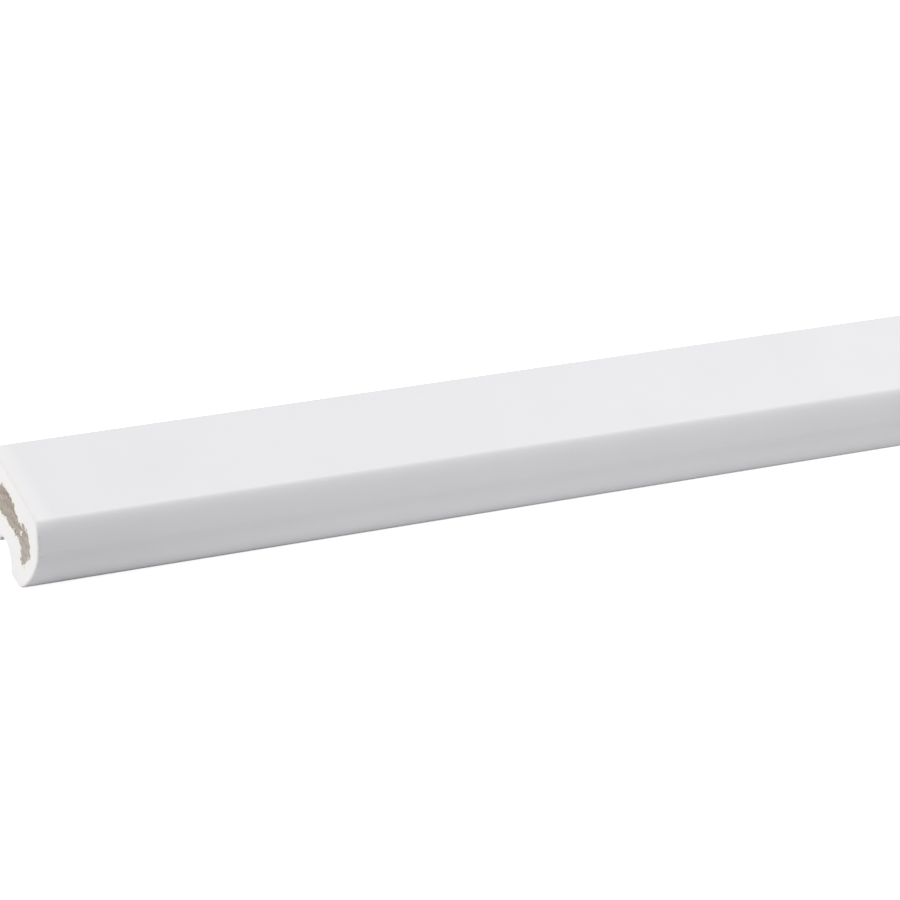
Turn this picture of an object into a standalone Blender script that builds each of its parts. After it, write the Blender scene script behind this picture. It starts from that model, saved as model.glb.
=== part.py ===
"""A primed timber glazing bead: broad flat top, soft shoulder, rounded hanging nose, drip groove and seat behind it.

Metres, +Z up. The bead runs along X, its front faces -Y, its glass face is at +Y, and it rests on the foot
of its nose. Its top falls a little towards the front. The origin is the centre of its bounding box's underside.
"""

import math

import bpy
from mathutils import Vector

# Driving dimensions
BEAD_LENGTH = 0.165
BODY_HEIGHT = 0.0146
TOP_FALL = 0.0004
NOSE_DROP = 0.0024
NOSE_DEPTH = 0.0139
NOSE_FOOT_WIDTH = 0.00365
FRONT_FLAT_HEIGHT = 0.0060
DRIP_GROOVE_RADIUS = 0.0033
DRIP_GROOVE_CENTRE_HEIGHT = 0.0009
SEAT_WIDTH = 0.00415
SHOULDER_DEPTH = 0.0013
SHOULDER_HEIGHT = 0.0050
TOP_BACK_ROUND = 0.0003
SEAT_BACK_ROUND = 0.0003
FOOT_BACK_ROUND = 0.00015

# How far the nose's curve keeps upright, and how far it keeps level, as shares of its height and depth
NOSE_UPPER_FULLNESS = 0.28
NOSE_LOWER_FULLNESS = 0.26

# Straight pieces that each round stretch is drawn with
CURVE_STEPS = 10

# Worked out from the values above
BEAD_HEIGHT = BODY_HEIGHT + NOSE_DROP
GROOVE_CENTRE_DEPTH = NOSE_DEPTH + DRIP_GROOVE_RADIUS
SEAT_ANGLE = math.asin((NOSE_DROP - DRIP_GROOVE_CENTRE_HEIGHT) / DRIP_GROOVE_RADIUS)
SEAT_FRONT = GROOVE_CENTRE_DEPTH + DRIP_GROOVE_RADIUS * math.cos(SEAT_ANGLE)
BEAD_DEPTH = SEAT_FRONT + SEAT_WIDTH
TOP_SLOPE = TOP_FALL / BEAD_DEPTH

OBJECT_NAME = "glazing_bead"
COLLECTION_NAME = "Glazing bead"
PRIMER_COLOUR = (0.83, 0.83, 0.84, 1.0)
PRIMER_ROUGHNESS = 0.55


def clear_scene():
    for old in list(bpy.data.objects):
        bpy.data.objects.remove(old, do_unlink=True)


def primed_timber():
    """White factory primer on timber."""
    material = bpy.data.materials.new("primed_timber")
    material.use_nodes = True
    shader = material.node_tree.nodes["Principled BSDF"]
    shader.inputs["Base Color"].default_value = PRIMER_COLOUR
    shader.inputs["Roughness"].default_value = PRIMER_ROUGHNESS
    shader.inputs["Metallic"].default_value = 0.0
    return material


def eased(place, before, after):
    """The two ends of a square corner's quarter round. before and after reach from the corner to them."""
    corner = Vector(place)
    back = Vector(before)
    ahead = Vector(after)
    handle = 1.0 - 4.0 / 3.0 * math.tan(math.pi / 8.0)
    return [(corner + back, None, corner + back * handle), (corner + ahead, corner + ahead * handle, None)]


def front_curve():
    """The nose's round front, from its upright face down to its foot."""
    top = BEAD_HEIGHT - FRONT_FLAT_HEIGHT
    foot = NOSE_DEPTH - NOSE_FOOT_WIDTH
    return [
        (Vector((0.0, top)), None, Vector((0.0, top * (1.0 - NOSE_UPPER_FULLNESS)))),
        (Vector((foot, 0.0)), Vector((foot * (1.0 - NOSE_LOWER_FULLNESS), 0.0)), None),
    ]


def groove_point(angle, turn):
    """A point of the drip groove's half-round wall, and the handles that keep it on the circle."""
    centre = Vector((GROOVE_CENTRE_DEPTH, DRIP_GROOVE_CENTRE_HEIGHT))
    outward = Vector((math.cos(angle), math.sin(angle)))
    along = Vector((math.sin(angle), -math.cos(angle)))
    reach = along * (4.0 / 3.0 * math.tan(turn / 4.0) * DRIP_GROOVE_RADIUS)
    place = centre + outward * DRIP_GROOVE_RADIUS
    return place, place - reach, place + reach


def drip_groove():
    """The half-round wall, from the back of the nose over its crown to the front edge of the seat."""
    whole_turn = math.pi - SEAT_ANGLE
    half_turn = whole_turn / 2.0
    start = groove_point(math.pi, half_turn)
    middle = groove_point(math.pi - half_turn, half_turn)
    end = groove_point(SEAT_ANGLE, half_turn)
    return [(start[0], None, start[2]), middle, (end[0], end[1], None)]


def section_points():
    """The bead's cross-section, anticlockwise seen from +X: depth from the front, and height above the foot."""
    along_top = Vector((1.0, TOP_SLOPE))
    points = []
    points += eased((0.0, BEAD_HEIGHT - TOP_FALL), along_top * SHOULDER_DEPTH, (0.0, -SHOULDER_HEIGHT))
    points += front_curve()
    points += eased((NOSE_DEPTH, 0.0), (-FOOT_BACK_ROUND, 0.0), (0.0, FOOT_BACK_ROUND))
    points += drip_groove()
    points += eased((BEAD_DEPTH, NOSE_DROP), (-SEAT_BACK_ROUND, 0.0), (0.0, SEAT_BACK_ROUND))
    points += eased((BEAD_DEPTH, BEAD_HEIGHT), (0.0, -TOP_BACK_ROUND), along_top * -TOP_BACK_ROUND)
    return points


def section_curve(points):
    """The section as a filled flat outline, drawn out to the bead's length."""
    curve = bpy.data.curves.new(OBJECT_NAME + "_section", "CURVE")
    curve.dimensions = "2D"
    curve.fill_mode = "BOTH"
    curve.extrude = BEAD_LENGTH / 2.0
    curve.resolution_u = CURVE_STEPS
    spline = curve.splines.new("BEZIER")
    spline.bezier_points.add(len(points) - 1)
    spline.use_cyclic_u = True
    for knot, (place, handle_in, handle_out) in zip(spline.bezier_points, points):
        knot.co = place.to_3d()
        knot.handle_left_type = "VECTOR" if handle_in is None else "FREE"
        knot.handle_right_type = "VECTOR" if handle_out is None else "FREE"
        if handle_in is not None:
            knot.handle_left = handle_in.to_3d()
        if handle_out is not None:
            knot.handle_right = handle_out.to_3d()
    return curve


def main():
    clear_scene()
    collection = bpy.data.collections.new(COLLECTION_NAME)
    bpy.context.scene.collection.children.link(collection)
    bead = bpy.data.objects.new(OBJECT_NAME, section_curve(section_points()))
    bead.rotation_euler = (math.pi / 2.0, 0.0, math.pi / 2.0)
    bead.location = (0.0, -BEAD_DEPTH / 2.0, 0.0)
    bead.data.materials.append(primed_timber())
    collection.objects.link(bead)


main()
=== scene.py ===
"""The looks of a short length of primed timber glazing bead, lying on a pale studio floor.

Metres, +Z up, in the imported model's own frame: the bead runs along X and its nosed front faces -Y.
"""

import math

import bpy
import numpy as np
from mathutils import Euler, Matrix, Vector, noise


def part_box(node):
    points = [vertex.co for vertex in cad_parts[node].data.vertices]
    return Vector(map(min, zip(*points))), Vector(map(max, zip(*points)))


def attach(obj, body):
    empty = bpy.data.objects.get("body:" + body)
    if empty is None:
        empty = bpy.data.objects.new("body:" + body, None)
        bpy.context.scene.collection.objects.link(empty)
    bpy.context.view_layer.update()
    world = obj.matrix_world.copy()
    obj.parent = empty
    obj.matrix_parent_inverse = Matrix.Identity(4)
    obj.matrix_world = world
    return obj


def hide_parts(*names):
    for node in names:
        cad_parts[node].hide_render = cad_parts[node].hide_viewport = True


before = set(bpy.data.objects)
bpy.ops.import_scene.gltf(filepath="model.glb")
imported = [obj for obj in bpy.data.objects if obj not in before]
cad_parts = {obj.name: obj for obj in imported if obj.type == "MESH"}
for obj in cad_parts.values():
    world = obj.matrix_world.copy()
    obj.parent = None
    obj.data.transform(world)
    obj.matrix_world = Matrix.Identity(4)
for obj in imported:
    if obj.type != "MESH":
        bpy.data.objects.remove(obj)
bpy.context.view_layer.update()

MM = 0.001
BEAD = "glazing_bead"
LOW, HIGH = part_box(BEAD)
HALF_LENGTH = HIGH.x
HEIGHT = HIGH.z

# Where the photograph was taken from, and where the front top corner of the sawn end stands in it, in pixels
FRAME_PIXELS = 900.0
SENSOR_WIDTH_MM = 36.0
LENS_MM = 128.5
CAMERA_AZIMUTH = math.radians(25.19)
CAMERA_ELEVATION = math.radians(28.84)
CAMERA_ROLL = math.radians(4.07)
CORNER_PIXEL = Vector((37.1, 522.15))
CORNER_DEPTH = 0.4738

# The floor that is seen, and the duller one just under it that lights the bead
FLOOR_SIZE = 12.0
FLOOR_WHITENESS = 0.90
FLOOR_GLOW = 0.85
FLOOR_ROUGHNESS = 0.9
FLOOR_MOTTLE = 0.003
FLOOR_MOTTLE_SIZE = 0.33
BOUNCE_WHITENESS = 0.58
BOUNCE_GLOW = 0.60
BOUNCE_DROP = 0.05 * MM

# The share of its whiteness that a floor keeps where it is given no light
DIM_FLOOR = 0.15

# The lower floor's light along the bead, from its left end to its right one: where the bead touches it, near
# the bead, and far from it
CONTACT_LIGHT = [(0.0, 0.0), (1.0, 0.36)]
NEAR_LIGHT = [(0.0, 0.57), (0.15, 0.70), (0.5, 0.73), (1.0, 0.69)]
FAR_LIGHT = [(0.0, 0.04), (0.35, 0.34), (1.0, 0.30)]

# The line where the bead touches the floor, and how far from it each light passes into the next
CONTACT_MIDDLE = LOW.y + 12.0 * MM
CONTACT_REACH = (5.2 * MM, 7.6 * MM)
NEAR_REACH = (18.0 * MM, 60.0 * MM)

# The light past the left end, and where it passes into the others: beside the end, and in front of it
END_LIGHT = 0.74
BESIDE_THE_END = (LOW.x - 0.8 * MM, LOW.x + 1.2 * MM)
BEFORE_THE_END = (LOW.y - 3.0 * MM, LOW.y - 18.0 * MM)

# Sky and lamps
SKY_STRENGTH = 0.66
KEY_HEIGHT = 1.00
KEY_SIZE = 0.80
KEY_POWER = 9.1
KEY_OFFSET = Vector((0.90, -0.16, 0.0))
SIDE_DISTANCE = 3.00
SIDE_SIZE = 1.80
SIDE_POWER = 46.0
SIDE_ELEVATION = math.radians(24.0)

# The mesh: what is merged, what counts as flat or as an end, and how fine the ends are cut
MERGE_DISTANCE = 0.001 * MM
FLAT_ANGLE = math.radians(0.5)
END_DIRECTION = 0.9
ON_AN_END = 0.01 * MM
GRID_PITCH = 0.15 * MM
EDGE_BAND = 3.0 * MM
SMOOTH_ANGLE = math.radians(38.0)

# How the arrises of the ends fall away, on the top more than elsewhere
ARRIS_REACH = 0.45 * MM
ARRIS_FALL = 0.30 * MM
TOP_ARRIS_FALL = 0.80 * MM
DEEPEST_FALL = 1.5 * TOP_ARRIS_FALL
TOP_ARRIS_BAND = (HEIGHT - 1.4 * MM, HEIGHT - 0.5 * MM)
SAWN_LEAN = 0.2

# Wanderings: how wide each is, and how far it goes, as a share of the arris or as a length
ARRIS_WANDER = [(1.6 * MM, 0.25), (0.45 * MM, 0.25)]
RAGGED_EDGE = [(1.5 * MM, 0.30 * MM), (0.7 * MM, 0.65 * MM), (0.32 * MM, 0.65 * MM)]

# Bare wood on the ends
FILM_THICKNESS = 0.10 * MM
TORN_GRAIN = 0.14 * MM
TORN_GRAIN_SIZE = 0.45 * MM
TORN_GRAIN_STEPS = 3
LIP_WIDTH = 0.18 * MM
DROP_RAGGEDNESS = 0.4
FAR_FROM_WOOD_MM = -5.0

# The bare wood's middle line on each end, from the glass side to the nose, and the primer's drops on it:
# depth from the front, height and half width
LEFT_WOOD = [
    (20.3 * MM, 10.3 * MM, 2.4 * MM),
    (16.0 * MM, 11.0 * MM, 2.6 * MM),
    (13.4 * MM, 11.0 * MM, 2.6 * MM),
    (11.4 * MM, 10.4 * MM, 1.9 * MM),
    (9.8 * MM, 9.9 * MM, 1.3 * MM),
    (6.3 * MM, 9.9 * MM, 2.65 * MM),
    (7.5 * MM, 6.0 * MM, 0.8 * MM),
]
LEFT_DROPS = [(8.2 * MM, 10.7 * MM, 0.26 * MM), (8.5 * MM, 10.2 * MM, 0.34 * MM)]
RIGHT_WOOD = [
    (19.6 * MM, 10.6 * MM, 2.2 * MM),
    (13.0 * MM, 11.0 * MM, 2.9 * MM),
    (7.5 * MM, 9.6 * MM, 2.6 * MM),
    (6.9 * MM, 7.2 * MM, 1.4 * MM),
]
RIGHT_DROPS = [(15.2 * MM, 11.4 * MM, 0.45 * MM), (14.7 * MM, 10.8 * MM, 0.30 * MM)]

ENDS = [
    {
        "name": "left",
        "plane": LOW.x,
        "inwards": 1.0,
        "wood": LEFT_WOOD,
        "drops": LEFT_DROPS,
        "wood_seed": 4.0,
        "arris_seed": 9.0,
        "drop_seed": 11.0,
    },
    {
        "name": "right",
        "plane": HIGH.x,
        "inwards": -1.0,
        "wood": RIGHT_WOOD,
        "drops": RIGHT_DROPS,
        "wood_seed": 11.0,
        "arris_seed": 16.0,
        "drop_seed": 18.0,
    },
]


class Finish:
    """A material, and short ways of adding to its node tree."""

    def __init__(self, name):
        self.material = bpy.data.materials.new(name)
        self.material.use_nodes = True
        self.tree = self.material.node_tree
        self.shader = self.tree.nodes["Principled BSDF"]

    def node(self, kind, settings, values, output=0):
        """Adds a node: its settings first, then the values or links of its sockets."""
        made = self.tree.nodes.new(kind)
        for name, setting in settings.items():
            if name == "stops":
                self.set_stops(made.color_ramp, setting)
            else:
                setattr(made, name, setting)
        for socket, value in values.items():
            self.feed(made.inputs[socket], value)
        return Field(self, made.outputs[output])

    def set_stops(self, ramp, stops):
        while len(ramp.elements) < len(stops):
            ramp.elements.new(1.0)
        for element, (place, colour) in zip(ramp.elements, stops):
            element.position = place
            element.color = colour

    def feed(self, socket, value):
        if isinstance(value, Field):
            self.tree.links.new(value.socket, socket)
        else:
            socket.default_value = value

    def maths(self, operation, *values):
        return self.node("ShaderNodeMath", {"operation": operation}, dict(enumerate(values)))

    def place(self, stretch=(1.0, 1.0, 1.0), turn=(0.0, 0.0, 0.0), shift=(0.0, 0.0, 0.0)):
        """Object coordinates, stretched, turned and then shifted."""
        coordinates = self.node("ShaderNodeTexCoord", {}, {}, "Object")
        values = {"Vector": coordinates, "Scale": stretch, "Rotation": turn, "Location": shift}
        return self.node("ShaderNodeMapping", {}, values)

    def along(self, axis):
        """One object coordinate by itself."""
        return self.node("ShaderNodeSeparateXYZ", {}, {"Vector": self.place()}, axis)

    def noise(self, place, size, detail=2.0, roughness=0.5):
        """Noise from 0 to 1 whose lumps are about as wide as size."""
        values = {"Vector": place, "Scale": 1.0 / size, "Detail": detail, "Roughness": roughness}
        return self.node("ShaderNodeTexNoise", {}, values)

    def blend(self, share, first, second):
        """A colour between two others."""
        return self.node("ShaderNodeMix", {"data_type": "RGBA"}, {0: share, 6: first, 7: second}, 2)

    def ramp(self, value, stops):
        return self.node("ShaderNodeValToRGB", {"stops": stops}, {"Fac": value}, "Color")

    def attribute(self, name):
        return self.node("ShaderNodeAttribute", {"attribute_name": name}, {}, "Fac")

    def bump(self, height, distance):
        return self.node("ShaderNodeBump", {}, {"Height": height, "Distance": distance, "Strength": 1.0})

    def complete(self, **sockets):
        """Feeds the shader's own sockets, and gives the material."""
        for name, value in sockets.items():
            self.feed(self.shader.inputs[name.replace("_", " ")], value)
        return self.material


class Field:
    """One number, colour or vector that changes over a surface. Numbers take plain arithmetic."""

    def __init__(self, finish, socket):
        self.finish = finish
        self.socket = socket

    def __add__(self, other):
        return self.finish.maths("ADD", self, other)

    def __radd__(self, other):
        return self.finish.maths("ADD", other, self)

    def __sub__(self, other):
        return self.finish.maths("SUBTRACT", self, other)

    def __rsub__(self, other):
        return self.finish.maths("SUBTRACT", other, self)

    def __mul__(self, other):
        return self.finish.maths("MULTIPLY", self, other)

    def __rmul__(self, other):
        return self.finish.maths("MULTIPLY", other, self)

    def __abs__(self):
        return self.finish.maths("ABSOLUTE", self)

    def between(self, low, high):
        """0 at low, 1 at high, even between them and held beyond them."""
        values = {"Value": self, "From Min": low, "From Max": high}
        return self.finish.node("ShaderNodeMapRange", {"clamp": True}, values)


def grey(level):
    return (level, level, level, 1.0)


# Primer on the long faces

PRIMER_BASE = (0.722, 0.715, 0.737, 1.0)
PRIMER_THIN = (0.690, 0.684, 0.705, 1.0)
PRIMER_DUST = (0.640, 0.632, 0.640, 1.0)
PRIMER_LIGHTER_NEAR_END = (0.770, 0.762, 0.768, 1.0)
PRIMER_CHIP = (0.500, 0.495, 0.495, 1.0)
PRIMER_ROUGHNESS = 0.50
PRIMER_SHEEN = 0.35
PRIMER_RELIEF = 0.012 * MM
CLOUD_SIZE = 11.0 * MM
CLOUD_RANGE = (0.35, 0.75)
CLOUD_SHARE = 0.45
CLOUD_ROUGHNESS = 0.10
GRAIN_SIZE = 0.38 * MM
GRAIN_LENGTHENING = 0.035
GRAIN_RANGE = (0.52, 0.80)
GRAIN_SHARE = 0.16
GRAIN_ROUGHNESS = 0.06
GRAIN_RELIEF = 0.4
PEEL_SIZE = 0.67 * MM
PEEL_RELIEF = 0.6
SPECK_SIZE = 0.43 * MM
SPECK_RANGE = (0.73, 0.80)
SPECK_SHARE = 0.55
SPECK_RELIEF = 0.35
# How far from each end the top is lighter, and the band below the top that counts as the top
LIGHTER_NEAR_END_REACH = (0.5 * MM, 3.4 * MM)
TOP_BAND_DEPTH = (2.4 * MM, 1.0 * MM)
CHIP_SIZE = 0.55 * MM
CHIP_RANGE = (0.56, 0.66)
CHIP_REACH = (0.35 * MM, 1.0 * MM)
CHIP_SHARE = 0.45
CHIP_RELIEF = 2.0


def primer():
    """Sprayed factory primer: low sheen, faint orange peel, and the grain just telling through it."""
    finish = Finish("primer")
    place = finish.place()
    cloud = finish.noise(place, CLOUD_SIZE, detail=3.0)
    grain = finish.noise(
        finish.place(stretch=(GRAIN_LENGTHENING, 1.0, 1.0)), GRAIN_SIZE, detail=3.0, roughness=0.6
    )
    peel = finish.noise(place, PEEL_SIZE)
    specks = finish.noise(place, SPECK_SIZE, detail=1.0).between(*SPECK_RANGE)
    tone = finish.blend(cloud.between(*CLOUD_RANGE) * CLOUD_SHARE, PRIMER_BASE, PRIMER_THIN)
    tone = finish.blend(grain.between(*GRAIN_RANGE) * GRAIN_SHARE, tone, PRIMER_THIN)
    tone = finish.blend(specks * SPECK_SHARE, tone, PRIMER_DUST)
    tone, chips = near_the_ends(finish, place, tone)
    height = peel * PEEL_RELIEF + grain * GRAIN_RELIEF + specks * SPECK_RELIEF - chips * CHIP_RELIEF
    return finish.complete(
        Base_Color=tone,
        Roughness=PRIMER_ROUGHNESS + CLOUD_ROUGHNESS * cloud + GRAIN_ROUGHNESS * grain,
        Normal=finish.bump(height, PRIMER_RELIEF),
        Specular_IOR_Level=PRIMER_SHEEN,
    )


def near_the_ends(finish, place, tone):
    """The primer lighter on the top near each end, and the nicks that the saw leaves lower on the arris."""
    to_end = HALF_LENGTH - abs(finish.along("X"))
    to_top = HEIGHT - finish.along("Z")
    on_top = to_top.between(*TOP_BAND_DEPTH)
    lighter_near_end = (1.0 - to_end.between(*LIGHTER_NEAR_END_REACH)) * on_top
    chips = finish.noise(place, CHIP_SIZE, roughness=0.6).between(*CHIP_RANGE)
    chips = chips * (1.0 - to_end.between(*CHIP_REACH)) * (1.0 - on_top)
    tone = finish.blend(lighter_near_end, tone, PRIMER_LIGHTER_NEAR_END)
    return finish.blend(chips * CHIP_SHARE, tone, PRIMER_CHIP), chips


# The sawn ends

END_PAINT = (0.757, 0.746, 0.744, 1.0)
END_PAINT_WARM = (0.760, 0.735, 0.680, 1.0)
# Primer worn thin on the arris, darkened further as painted shade against the highlight the arris catches
END_PAINT_THIN_AND_SHADED = (0.610, 0.602, 0.600, 1.0)
# A painted shadow along the foot of the nose on each end, and where it lies: depth and height
FOOT_PAINTED_SHADOW = (0.300, 0.297, 0.300, 1.0)
FOOT_SHADOW_DEPTH = (LOW.y + 10.8 * MM, LOW.y + 12.0 * MM)
FOOT_SHADOW_HEIGHT = (1.0 * MM, 1.8 * MM)
WOOD_PORE = (0.150, 0.132, 0.112, 1.0)
WOOD_DARK = (0.240, 0.203, 0.172, 1.0)
WOOD_PALE = (0.395, 0.345, 0.298, 1.0)
WOOD_GREY = (0.440, 0.428, 0.405, 1.0)
WOOD_DUST = (0.600, 0.585, 0.565, 1.0)
WOOD_TONES = [
    (0.27, WOOD_PORE),
    (0.40, WOOD_DARK),
    (0.54, WOOD_PALE),
    (0.66, WOOD_PALE),
    (0.76, WOOD_DUST),
]
END_ROUGHNESS = 0.52
BARE_ROUGHNESS = 0.30
END_SHEEN = 0.30
END_RELIEF = 0.03 * MM

# The end's noises are drawn out along the grain
ALONG_THE_GRAIN = (0.25, 1.0, 1.0)
MOTTLE_SIZE = 0.55 * MM
MOTTLE_SHARE = 0.68
PORE_SIZE = 0.20 * MM
PORE_RANGE = (0.60, 0.72)
PORE_SHARE = 0.80
PORE_RELIEF = 0.9
SAW_MARK_SIZE = 0.20 * MM
SAW_MARK_LENGTHENING = 0.06
SAW_MARK_TURN = 0.35
SAW_MARK_SHARE = 0.22
WOOD_SAW_RELIEF = 0.8
PAINT_SAW_RELIEF = 0.25
RING_SHIFT = (0.0, 6.0 * MM, 22.0 * MM)
RING_SHARE = 0.10
RING_RELIEF = 0.3
RINGS = {"Scale": 200.0, "Distortion": 5.0, "Detail": 2.0, "Detail Scale": 1.4}
NOSE_WOOD_DEPTH = (-1.0 * MM, -6.0 * MM)
NOSE_GREY_SHARE = 0.40
DARK_WOOD_HEIGHT = (10.8 * MM, 13.4 * MM)
DARK_WOOD_SHARE = 0.50
DUST_SIZE = 0.48 * MM
DUST_RANGE = (0.60, 0.68)
DUST_SHARE = 0.75
PAINT_LUMP_SIZE = 0.67 * MM
PAINT_LUMP_RELIEF = 0.5

# Distances from the bare wood's edge, in millimetres as the mark is, and how far the fringe moves them
FRINGE_SIZE = 0.26 * MM
BARE_EDGE_RANGE = (-0.05, 0.05)
BARE_FRINGE = 1.1
WARM_RANGE = (-1.3, 0.0)
WARM_FRINGE = 0.6
# How much of the thin primer with painted shade the arris takes
THIN_AND_SHADED_SHARE = 0.12


def sawn_end():
    """The saw cut: primer wiped round its edge, and bare end grain in the middle."""
    finish = Finish("sawn_end")
    place = finish.place(stretch=ALONG_THE_GRAIN)
    edge = finish.attribute("bare_edge")
    fringe = finish.noise(place, FRINGE_SIZE, detail=3.0, roughness=0.6) - 0.5
    bare = (edge + fringe * BARE_FRINGE).between(*BARE_EDGE_RANGE)
    marks = finish.place(stretch=(1.0, SAW_MARK_LENGTHENING, 1.0), turn=(SAW_MARK_TURN, 0.0, 0.0))
    saw = finish.noise(marks, SAW_MARK_SIZE)

    wood, wood_height = end_grain(finish, place, saw)
    paint = end_paint(finish, edge + fringe * WARM_FRINGE)
    paint_height = finish.noise(place, PAINT_LUMP_SIZE) * PAINT_LUMP_RELIEF + saw * PAINT_SAW_RELIEF
    height = paint_height + bare * (wood_height - paint_height)
    return finish.complete(
        Base_Color=finish.blend(bare, paint, wood),
        Roughness=END_ROUGHNESS + bare * BARE_ROUGHNESS,
        Normal=finish.bump(height, END_RELIEF),
        Specular_IOR_Level=END_SHEEN,
    )


def end_paint(finish, edge):
    """The primer on the cut: warmer beside the wood, thinner on the arris with painted shade there, and a
    painted shadow along the foot of the nose.
    """
    paint = finish.blend(edge.between(*WARM_RANGE), END_PAINT, END_PAINT_WARM)
    turn = finish.attribute("arris_turn")
    # Thin primer and painted shade on the arris
    paint = finish.blend(turn * THIN_AND_SHADED_SHARE, paint, END_PAINT_THIN_AND_SHADED)
    # A painted shadow along the foot of the nose, where the arris turns under
    low = 1.0 - finish.along("Z").between(*FOOT_SHADOW_HEIGHT)
    shadow_under_nose = finish.along("Y").between(*FOOT_SHADOW_DEPTH) * low
    return finish.blend(shadow_under_nose * turn, paint, FOOT_PAINTED_SHADOW)


def end_grain(finish, place, saw):
    """Bare end grain and its height: soft rings, mottled, with open pores, greyer in the nose."""
    rings = finish.node(
        "ShaderNodeTexWave",
        {"wave_type": "RINGS", "rings_direction": "X", "wave_profile": "SIN"},
        {"Vector": finish.place(shift=RING_SHIFT), **RINGS},
    )
    mottle = finish.noise(place, MOTTLE_SIZE, detail=5.0, roughness=0.78)
    pores = finish.noise(place, PORE_SIZE, roughness=0.65)
    dust = finish.noise(place, DUST_SIZE, roughness=0.7)
    wood = finish.ramp(mottle * MOTTLE_SHARE + rings * RING_SHARE + saw * SAW_MARK_SHARE, WOOD_TONES)
    wood = finish.blend(finish.along("Y").between(*NOSE_WOOD_DEPTH) * NOSE_GREY_SHARE, wood, WOOD_GREY)
    # The bare wood darker towards the top of the end
    wood = finish.blend(finish.along("Z").between(*DARK_WOOD_HEIGHT) * DARK_WOOD_SHARE, wood, WOOD_DARK)
    wood = finish.blend(pores.between(*PORE_RANGE) * PORE_SHARE, wood, WOOD_PORE)
    wood = finish.blend(dust.between(*DUST_RANGE) * DUST_SHARE, wood, WOOD_DUST)
    return wood, saw * WOOD_SAW_RELIEF + rings * RING_RELIEF - pores * PORE_RELIEF


# The bead's mesh


def select_only(piece):
    bpy.ops.object.select_all(action="DESELECT")
    piece.select_set(True)
    bpy.context.view_layer.objects.active = piece


def edit(piece):
    select_only(piece)
    bpy.ops.object.mode_set(mode="EDIT")
    bpy.ops.mesh.select_mode(type="FACE")
    bpy.ops.mesh.select_all(action="DESELECT")


def leave_edit():
    bpy.ops.object.mode_set(mode="OBJECT")


def select_faces(piece, wanted):
    """Selects, from inside edit mode, the faces that wanted says yes to."""
    leave_edit()
    for face in piece.data.polygons:
        face.select = wanted(face)
    bpy.ops.object.mode_set(mode="EDIT")


def is_end(face):
    return abs(face.normal.x) > END_DIRECTION


def merged_copy(node, name):
    """A copy of a CAD node, with its loose triangles joined into whole faces."""
    piece = bpy.data.objects.new(name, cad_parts[node].data.copy())
    bpy.context.scene.collection.objects.link(piece)
    piece.data.materials.clear()
    edit(piece)
    bpy.ops.mesh.select_all(action="SELECT")
    bpy.ops.mesh.remove_doubles(threshold=MERGE_DISTANCE)
    bpy.ops.mesh.dissolve_limited(angle_limit=FLAT_ANGLE)
    bpy.ops.mesh.normals_make_consistent(inside=False)
    leave_edit()
    return piece


def end_outline(piece):
    """The section's outline, as an array of its corners in order."""
    face = max((f for f in piece.data.polygons if is_end(f)), key=lambda f: f.area)
    corners = [piece.data.vertices[i].co for i in face.vertices]
    return np.array([(corner.y, corner.z) for corner in corners])


def cut_across(piece):
    """Cuts the long faces near both ends, so that the fine faces of the ends stay there."""
    edit(piece)
    for place in (LOW.x + EDGE_BAND, HIGH.x - EDGE_BAND):
        bpy.ops.mesh.select_all(action="SELECT")
        bpy.ops.mesh.bisect(plane_co=(place, 0.0, 0.0), plane_no=(1.0, 0.0, 0.0))
    leave_edit()


def cut_ends(piece):
    """Cuts a fine square grid into both ends."""
    edit(piece)
    select_faces(piece, is_end)
    bpy.ops.mesh.hide(unselected=True)
    for normal, low, high in (((0.0, 1.0, 0.0), LOW.y, HIGH.y), ((0.0, 0.0, 1.0), LOW.z, HIGH.z)):
        count = round((high - low) / GRID_PITCH)
        for step in range(1, count):
            place = Vector(normal) * (low + (high - low) * step / count)
            bpy.ops.mesh.select_all(action="SELECT")
            bpy.ops.mesh.bisect(plane_co=place, plane_no=normal)
    bpy.ops.mesh.reveal(select=False)
    leave_edit()


def distance_to_outline(points, outline):
    """How far each point lies from a closed outline, and how high the outline is at its nearest place."""
    nearest = np.full(len(points), np.inf)
    height = np.zeros(len(points))
    for start, end in zip(outline, np.roll(outline, -1, axis=0)):
        run = end - start
        share = np.clip((points - start) @ run / (run @ run), 0.0, 1.0)
        foot = start + share[:, None] * run
        gap = np.hypot(*(points - foot).T)
        height = np.where(gap < nearest, foot[:, 1], height)
        nearest = np.minimum(nearest, gap)
    return nearest, height


def inside_line(points, middle_line):
    """How far each point lies inside a line of varying width, and outside it as a negative distance."""
    inside = np.full(len(points), -np.inf)
    for start, end in zip(middle_line, middle_line[1:]):
        start_place = np.array([LOW.y + start[0], start[1]])
        end_place = np.array([LOW.y + end[0], end[1]])
        run = end_place - start_place
        share = np.clip((points - start_place) @ run / (run @ run), 0.0, 1.0)
        gap = points - (start_place + share[:, None] * run)
        half_width = start[2] + share * (end[2] - start[2])
        inside = np.maximum(inside, half_width - np.hypot(gap[:, 0], gap[:, 1]))
    return inside


def wander(points, steps, seed):
    """Smooth noise made of several steps, each with its width and its reach."""
    total = np.zeros(len(points))
    for size, reach in steps:
        lumps = [noise.noise(Vector((y / size, z / size, seed + size / MM))) for y, z in points]
        total += reach * np.array(lumps)
    return total


def smooth_step(values, low, high):
    share = np.clip((values - low) / (high - low), 0.0, 1.0)
    return share * share * (3.0 - 2.0 * share)


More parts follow.
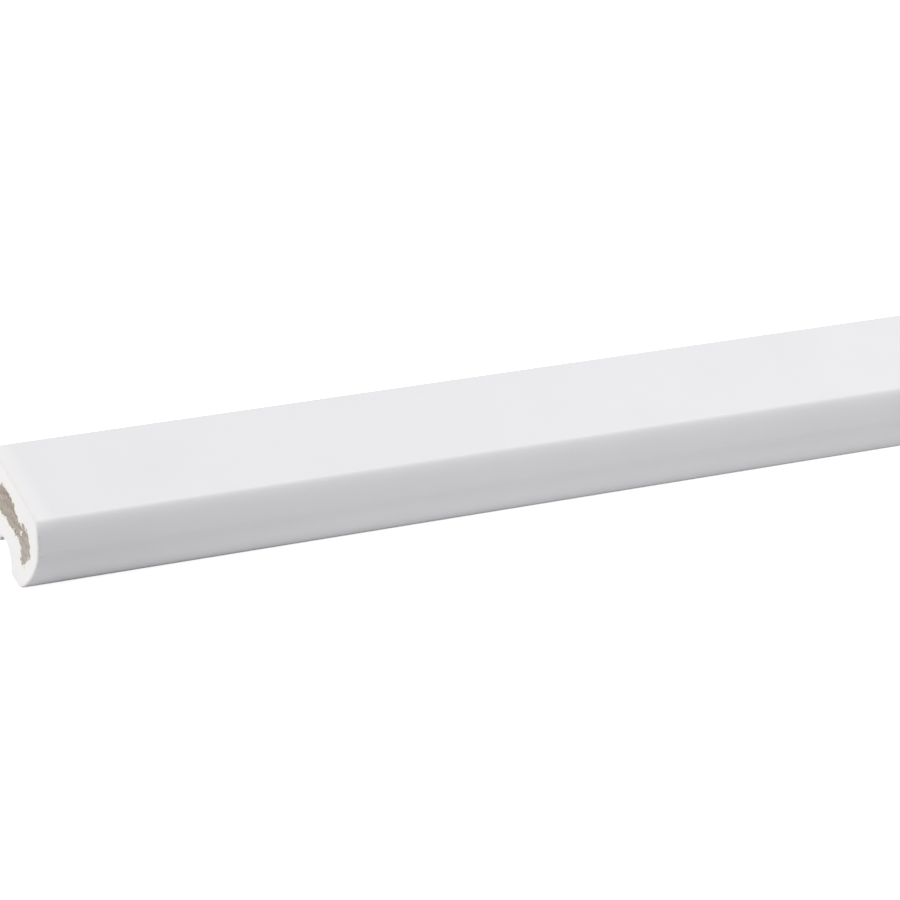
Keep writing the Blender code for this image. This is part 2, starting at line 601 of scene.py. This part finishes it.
def end_relief(piece, outline, end):
    """Weighs one end's corners for its rounded arris and its bare wood, and marks them for the finish."""
    corners = piece.data.vertices
    here = [v.index for v in corners if abs(v.co.x - end["plane"]) < ON_AN_END]
    points = np.array([(corners[i].co.y, corners[i].co.z) for i in here])
    fall, turn = arris(points, outline, end["arris_seed"])
    edge = bare_edge(points, end)
    bare = smooth_step(edge, -LIP_WIDTH / 2.0, LIP_WIDTH / 2.0)
    set_weights(piece, "arris_" + end["name"], here, fall / DEEPEST_FALL)
    set_weights(piece, "bare_" + end["name"], here, bare)
    set_marks(piece, "arris_turn", here, turn)
    set_marks(piece, "bare_edge", here, edge / MM)


def arris(points, outline, seed):
    """How far each corner of an end falls away, and how near the slope there comes to 45 degrees."""
    out, outline_height = distance_to_outline(points, outline)
    uneven = 1.0 + wander(points, ARRIS_WANDER, seed)
    near = 1.0 - np.clip(out / (ARRIS_REACH * uneven), 0.0, 1.0)
    on_top = smooth_step(outline_height, *TOP_ARRIS_BAND)
    deepest = (ARRIS_FALL + (TOP_ARRIS_FALL - ARRIS_FALL) * on_top) * uneven
    level = np.sqrt(1.0 - near * near)
    steepness = np.arctan2(deepest * near, ARRIS_REACH * level)
    return (1.0 - level) * deepest, np.sin(2.0 * steepness)


def bare_edge(points, end):
    """How far each corner of an end lies inside the bare wood."""
    wood = inside_line(points, end["wood"]) + wander(points, RAGGED_EDGE, end["wood_seed"])
    ragged_drop = DROP_RAGGEDNESS * wander(points, RAGGED_EDGE, end["drop_seed"])
    drops = inside_line(points, end["drops"]) + ragged_drop
    return np.minimum(wood, -drops)


def set_weights(piece, name, indices, weights):
    group = piece.vertex_groups.new(name=name)
    for index, weight in zip(indices, weights):
        group.add([index], float(weight), "REPLACE")


def set_marks(piece, name, indices, values):
    attribute = piece.data.attributes[name]
    for index, value in zip(indices, values):
        attribute.data[index].value = value


def push(piece, group, distance, texture=None):
    """Moves a group's corners along X, evenly or by a texture, and applies it."""
    made = piece.modifiers.new(group, "DISPLACE")
    made.vertex_group = group
    made.direction = "X"
    made.strength = distance
    made.mid_level = 0.0
    if texture is not None:
        made.texture = texture
        made.texture_coords = "LOCAL"
    select_only(piece)
    bpy.ops.object.modifier_apply(modifier=made.name)


def torn_grain():
    """The small pits and tufts that a saw leaves across the grain."""
    texture = bpy.data.textures.new("torn_grain", "CLOUDS")
    texture.noise_scale = TORN_GRAIN_SIZE
    texture.noise_depth = TORN_GRAIN_STEPS
    texture.noise_type = "HARD_NOISE"
    return texture


def smooth_faces(piece):
    """Smooth shading that leaves the broad flats flat."""
    select_only(piece)
    bpy.ops.object.shade_smooth_by_angle(angle=SMOOTH_ANGLE)
    made = piece.modifiers.new("flat_faces_stay_flat", "WEIGHTED_NORMAL")
    made.mode = "FACE_AREA"
    made.keep_sharp = True
    bpy.ops.object.modifier_apply(modifier=made.name)


def lay_finishes(piece):
    """Primer on the long faces, and the sawn finish on both ends and their arrises."""
    piece.data.materials.append(primer())
    piece.data.materials.append(sawn_end())
    for face in piece.data.polygons:
        if abs(face.center.x) > HALF_LENGTH - EDGE_BAND and abs(face.normal.x) > SAWN_LEAN:
            face.material_index = 1


def primed_bead():
    piece = merged_copy(BEAD, "primed_bead")
    outline = end_outline(piece)
    cut_across(piece)
    cut_ends(piece)
    piece.data.attributes.new("arris_turn", "FLOAT", "POINT")
    piece.data.attributes.new("bare_edge", "FLOAT", "POINT")
    far_outside = np.full(len(piece.data.vertices), FAR_FROM_WOOD_MM)
    piece.data.attributes["bare_edge"].data.foreach_set("value", far_outside)
    for end in ENDS:
        end_relief(piece, outline, end)
    grain = torn_grain()
    for end in ENDS:
        push(piece, "arris_" + end["name"], end["inwards"] * DEEPEST_FALL)
        push(piece, "bare_" + end["name"], end["inwards"] * FILM_THICKNESS)
        push(piece, "bare_" + end["name"], end["inwards"] * TORN_GRAIN, grain)
    lay_finishes(piece)
    smooth_faces(piece)
    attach(piece, "root")
    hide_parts(BEAD)


# Studio


def evenly_lit(finish):
    """The same light all over, with a mottle too faint to see."""
    return 1.0 - FLOOR_MOTTLE * finish.noise(finish.place(), FLOOR_MOTTLE_SIZE)


def shaded_by_the_bead(finish):
    """Least light where the bead touches the floor, more near it than far off, and its own past the end."""
    rightwards = finish.along("X").between(LOW.x, HIGH.x)
    touching, near, far = (
        finish.ramp(rightwards, [(place, grey(light)) for place, light in stops])
        for stops in (CONTACT_LIGHT, NEAR_LIGHT, FAR_LIGHT)
    )
    away = abs(finish.along("Y") - CONTACT_MIDDLE)
    light = touching + away.between(*CONTACT_REACH) * (near - touching)
    light = light + away.between(*NEAR_REACH) * (far - light)
    beside = finish.along("X").between(*BESIDE_THE_END)
    before = finish.along("Y").between(*BEFORE_THE_END)
    return END_LIGHT + finish.maths("MAXIMUM", beside, before) * (light - END_LIGHT)


def table(name, height, whiteness, glow, lighting):
    """A pale table top whose colour and glow follow the given light: painted light and shade where that
    light varies.
    """
    finish = Finish(name)
    light = lighting(finish)
    material = finish.complete(
        Base_Color=finish.blend(light, grey(whiteness * DIM_FLOOR), grey(whiteness)),
        Roughness=FLOOR_ROUGHNESS,
        Specular_IOR_Level=0.0,
        Emission_Color=finish.blend(light, grey(0.0), grey(1.0)),
        Emission_Strength=glow,
    )
    bpy.ops.mesh.primitive_plane_add(size=FLOOR_SIZE, location=(0.0, 0.0, height))
    made = bpy.context.object
    made.name = name
    made.data.materials.append(material)
    return made


def floor():
    """A table lit hard enough to read as blank white, and under it the duller one that lights the bead."""
    seen = table("floor", 0.0, FLOOR_WHITENESS, FLOOR_GLOW, evenly_lit)
    seen.visible_diffuse = False
    seen.visible_glossy = False
    seen.visible_shadow = False
    bounce = table("bounce", -BOUNCE_DROP, BOUNCE_WHITENESS, BOUNCE_GLOW, shaded_by_the_bead)
    bounce.visible_camera = False


def sky():
    world = bpy.data.worlds.new("studio")
    world.use_nodes = True
    background = world.node_tree.nodes["Background"]
    background.inputs["Color"].default_value = grey(1.0)
    background.inputs["Strength"].default_value = SKY_STRENGTH
    bpy.context.scene.world = world


def lamp(name, place, target, size, power):
    data = bpy.data.lights.new(name, "AREA")
    data.shape = "SQUARE"
    data.size = size
    data.energy = power
    made = bpy.data.objects.new(name, data)
    made.location = place
    made.rotation_euler = (target - place).to_track_quat("-Z", "Y").to_euler()
    bpy.context.scene.collection.objects.link(made)


def lamps():
    middle = Vector((0.0, 0.0, HEIGHT))
    lamp("key", middle + KEY_OFFSET + Vector((0.0, 0.0, KEY_HEIGHT)), middle, KEY_SIZE, KEY_POWER)
    end = Vector((LOW.x, 0.0, HEIGHT / 2.0))
    away = Vector((-math.cos(SIDE_ELEVATION), 0.0, math.sin(SIDE_ELEVATION)))
    lamp("side", end + away * SIDE_DISTANCE, end, SIDE_SIZE, SIDE_POWER)


def camera():
    """The photograph's own view, with nothing shifted and nothing out of focus."""
    turn = (
        Euler((0.0, 0.0, -CAMERA_AZIMUTH)).to_matrix()
        @ Euler((math.pi / 2.0 - CAMERA_ELEVATION, 0.0, 0.0)).to_matrix()
        @ Euler((0.0, 0.0, CAMERA_ROLL)).to_matrix()
    )
    focal_pixels = LENS_MM / SENSOR_WIDTH_MM * FRAME_PIXELS
    across = (CORNER_PIXEL.x - FRAME_PIXELS / 2.0) / focal_pixels
    upwards = (FRAME_PIXELS / 2.0 - CORNER_PIXEL.y) / focal_pixels
    corner = Vector((LOW.x, LOW.y, HIGH.z))
    data = bpy.data.cameras.new("camera")
    data.lens = LENS_MM
    data.sensor_width = SENSOR_WIDTH_MM
    made = bpy.data.objects.new("camera", data)
    made.rotation_euler = turn.to_euler()
    made.location = corner - turn @ (Vector((across, upwards, -1.0)) * CORNER_DEPTH)
    bpy.context.scene.collection.objects.link(made)
    bpy.context.scene.camera = made


def main():
    camera()
    sky()
    lamps()
    floor()
    primed_bead()
    bpy.context.scene.view_settings.view_transform = "Standard"


main()
